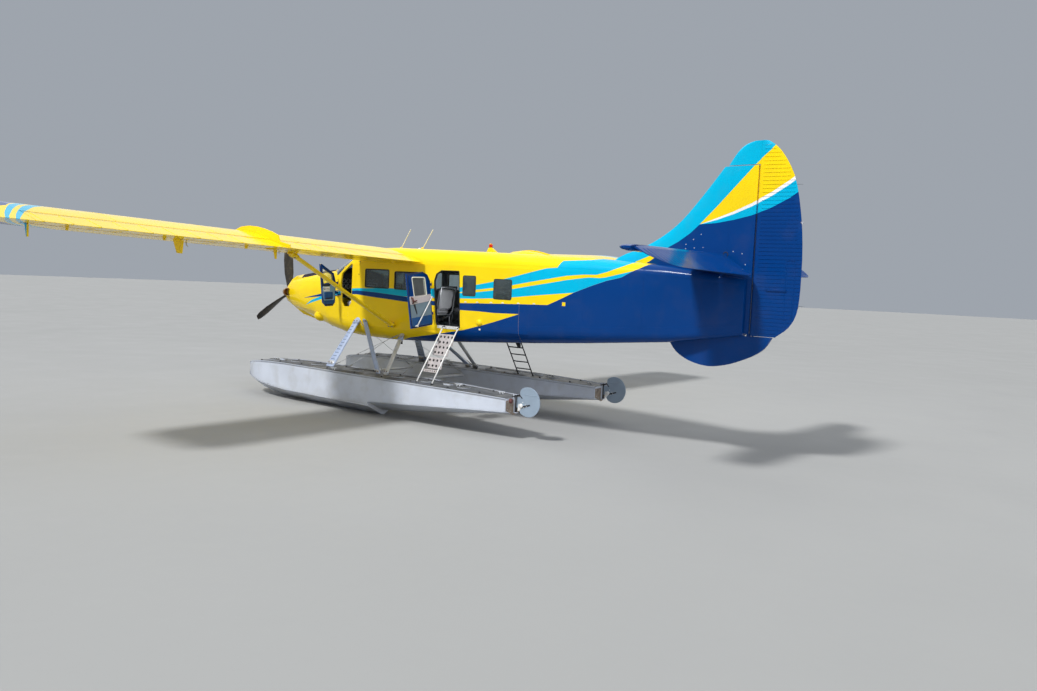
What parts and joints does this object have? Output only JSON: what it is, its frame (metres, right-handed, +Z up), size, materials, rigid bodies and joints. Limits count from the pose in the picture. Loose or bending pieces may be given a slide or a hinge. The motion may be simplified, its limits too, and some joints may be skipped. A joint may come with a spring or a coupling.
{
  "type": "single-engined high-wing floatplane",
  "caption": "High-wing utility floatplane on twin floats, with tapered nose and propeller, open port doors, ladders, tall fin and hinged control surfaces.",
  "frame": {"origin": "on the ground under the middle of the overall box, between the floats' keels", "axes": "+X towards the nose, +Y to port along the span, +Z up"},
  "size_m": [12.96, 17.68, 5.21],
  "materials": {
    "yellow_paint": "glossy yellow paint on riveted sheet",
    "blue_paint": "glossy deep blue paint on riveted sheet",
    "float_paint": "satin pale grey paint, weathered",
    "strut_paint": "satin blue grey paint",
    "bare_aluminium": "brushed",
    "blade_paint": "matt black",
    "glazing": "clear, slightly tinted",
    "heat_tinted_steel": "heat tinted brown and gold",
    "seat_fabric": "woven grey cover",
    "cabin_trim": "grey lining and floor",
    "engine_metal": "dark, heat stained",
    "ladder_paint": "white paint, worn"
  },
  "bodies": {
    "airframe": {"nose_cowl": "yellow_paint", "engine_block": "engine_metal", "exhaust_stub_port": "heat_tinted_steel", "exhaust_stub_starboard": "heat_tinted_steel", "cockpit_shell": "yellow_paint", "windscreen_port": "glazing", "windscreen_starboard": "glazing", "cabin_belly": "yellow_paint", "cabin_side_port": "yellow_paint", "cabin_side_starboard": "yellow_paint", "cabin_roof": "yellow_paint", "cabin_floor": "cabin_trim", "rear_fuselage": "blue_paint", "window_1_port": "glazing", "window_1_starboard": "glazing", "window_2_port": "glazing", "window_2_starboard": "glazing", "window_3_port": "glazing", "window_3_starboard": "glazing", "window_4_port": "glazing", "window_4_starboard": "glazing", "instrument_panel": "cabin_trim", "pilot_seats": "seat_fabric", "cabin_seats_port": "seat_fabric", "cabin_seats_starboard": "seat_fabric", "wing_port": "yellow_paint", "wing_starboard": "yellow_paint", "fin": "blue_paint", "ventral_fin": "blue_paint", "tailplane_port": "blue_paint", "tailplane_starboard": "blue_paint", "wing_strut_port": "yellow_paint", "wing_strut_starboard": "yellow_paint", "float_port": "float_paint", "float_starboard": "float_paint", "float_front_strut_port": "strut_paint", "float_front_strut_starboard": "strut_paint", "float_diagonal_strut_port": "strut_paint", "float_diagonal_strut_starboard": "strut_paint", "float_rear_strut_port": "bare_aluminium", "float_rear_strut_starboard": "bare_aluminium", "spreader_bar_front": "bare_aluminium", "spreader_bar_rear": "bare_aluminium", "ladder_port": "ladder_paint", "ladder_starboard": "ladder_paint"},
    "propeller": {"propeller": "blade_paint"},
    "rudder": {"rudder": "blue_paint"},
    "elevator": {"elevator_port": "blue_paint", "elevator_starboard": "blue_paint"},
    "flap_port": {"flap_port": "yellow_paint"},
    "flap_starboard": {"flap_starboard": "yellow_paint"},
    "aileron_port": {"aileron_port": "yellow_paint"},
    "aileron_starboard": {"aileron_starboard": "yellow_paint"},
    "crew_door_port": {"crew_door_port": "blue_paint"},
    "crew_door_starboard": {"crew_door_starboard": "yellow_paint"},
    "cabin_door_port": {"cabin_door_port": "blue_paint"},
    "cabin_door_starboard": {"cabin_door_starboard": "yellow_paint"},
    "water_rudder_port": {"water_rudder_port": "bare_aluminium"},
    "water_rudder_starboard": {"water_rudder_starboard": "bare_aluminium"}
  },
  "joints": [
    {"name": "propeller_spin", "type": "hinge", "parent": "airframe", "child": "propeller", "pos_m": [6.33, 0, 2.26], "axis": [1, 0, 0], "continuous": true},
    {"name": "rudder_steer", "type": "hinge", "parent": "airframe", "child": "rudder", "pos_m": [-5.75, 0, 2.08], "axis": [0, 0, 1], "range_deg": [-25, 25]},
    {"name": "elevator_pitch", "type": "hinge", "parent": "airframe", "child": "elevator", "pos_m": [-5.21, 0, 3.345], "axis": [0, 1, 0], "range_deg": [0, 52]},
    {"name": "aileron_port_roll", "type": "hinge", "parent": "airframe", "child": "aileron_port", "pos_m": [1.40599, 6.175, 3.32372], "axis": [0, 0.9994, 0.0338], "range_deg": [-18, 18]},
    {"name": "aileron_starboard_roll", "type": "hinge", "parent": "airframe", "child": "aileron_starboard", "pos_m": [1.40599, -6.175, 3.32372], "axis": [0, 0.9994, -0.0338], "range_deg": [-18, 18]},
    {"name": "flap_port_lower", "type": "hinge", "parent": "airframe", "child": "flap_port", "pos_m": [1.40599, 2.491, 3.1992], "axis": [0, 0.9994, 0.0338], "range_deg": [-35, 0]},
    {"name": "flap_starboard_lower", "type": "hinge", "parent": "airframe", "child": "flap_starboard", "pos_m": [1.40599, -2.491, 3.1992], "axis": [0, 0.9994, -0.0338], "range_deg": [-35, 0]},
    {"name": "crew_door_port_swing", "type": "hinge", "parent": "airframe", "child": "crew_door_port", "pos_m": [3.545, 0.81563, 2.4], "axis": [0.0523, 0, 0.9986], "range_deg": [0, 90]},
    {"name": "crew_door_starboard_swing", "type": "hinge", "parent": "airframe", "child": "crew_door_starboard", "pos_m": [3.545, -0.81563, 2.4], "axis": [0.0523, 0, 0.9986], "range_deg": [0, 90]},
    {"name": "cabin_door_port_swing", "type": "hinge", "parent": "airframe", "child": "cabin_door_port", "pos_m": [0.635, 0.8493, 2.35], "axis": [0.1219, 0, 0.9925], "range_deg": [0, 90]},
    {"name": "cabin_door_starboard_swing", "type": "hinge", "parent": "airframe", "child": "cabin_door_starboard", "pos_m": [0.635, -0.8493, 2.35], "axis": [0.1219, 0, 0.9925], "range_deg": [0, 90]},
    {"name": "water_rudder_port_steer", "type": "hinge", "parent": "airframe", "child": "water_rudder_port", "pos_m": [-2.065, 1.43, 0.486], "axis": [0, 0, 1], "range_deg": [-30, 30]},
    {"name": "water_rudder_starboard_steer", "type": "hinge", "parent": "airframe", "child": "water_rudder_starboard", "pos_m": [-2.065, -1.43, 0.486], "axis": [0, 0, 1], "range_deg": [-30, 30]}
  ],
  "couplings": [
    {"joint": "aileron_starboard_roll", "follows": "aileron_port_roll", "ratio": -1},
    {"joint": "flap_starboard_lower", "follows": "flap_port_lower", "ratio": 1},
    {"joint": "water_rudder_starboard_steer", "follows": "water_rudder_port_steer", "ratio": 1}
  ]
}
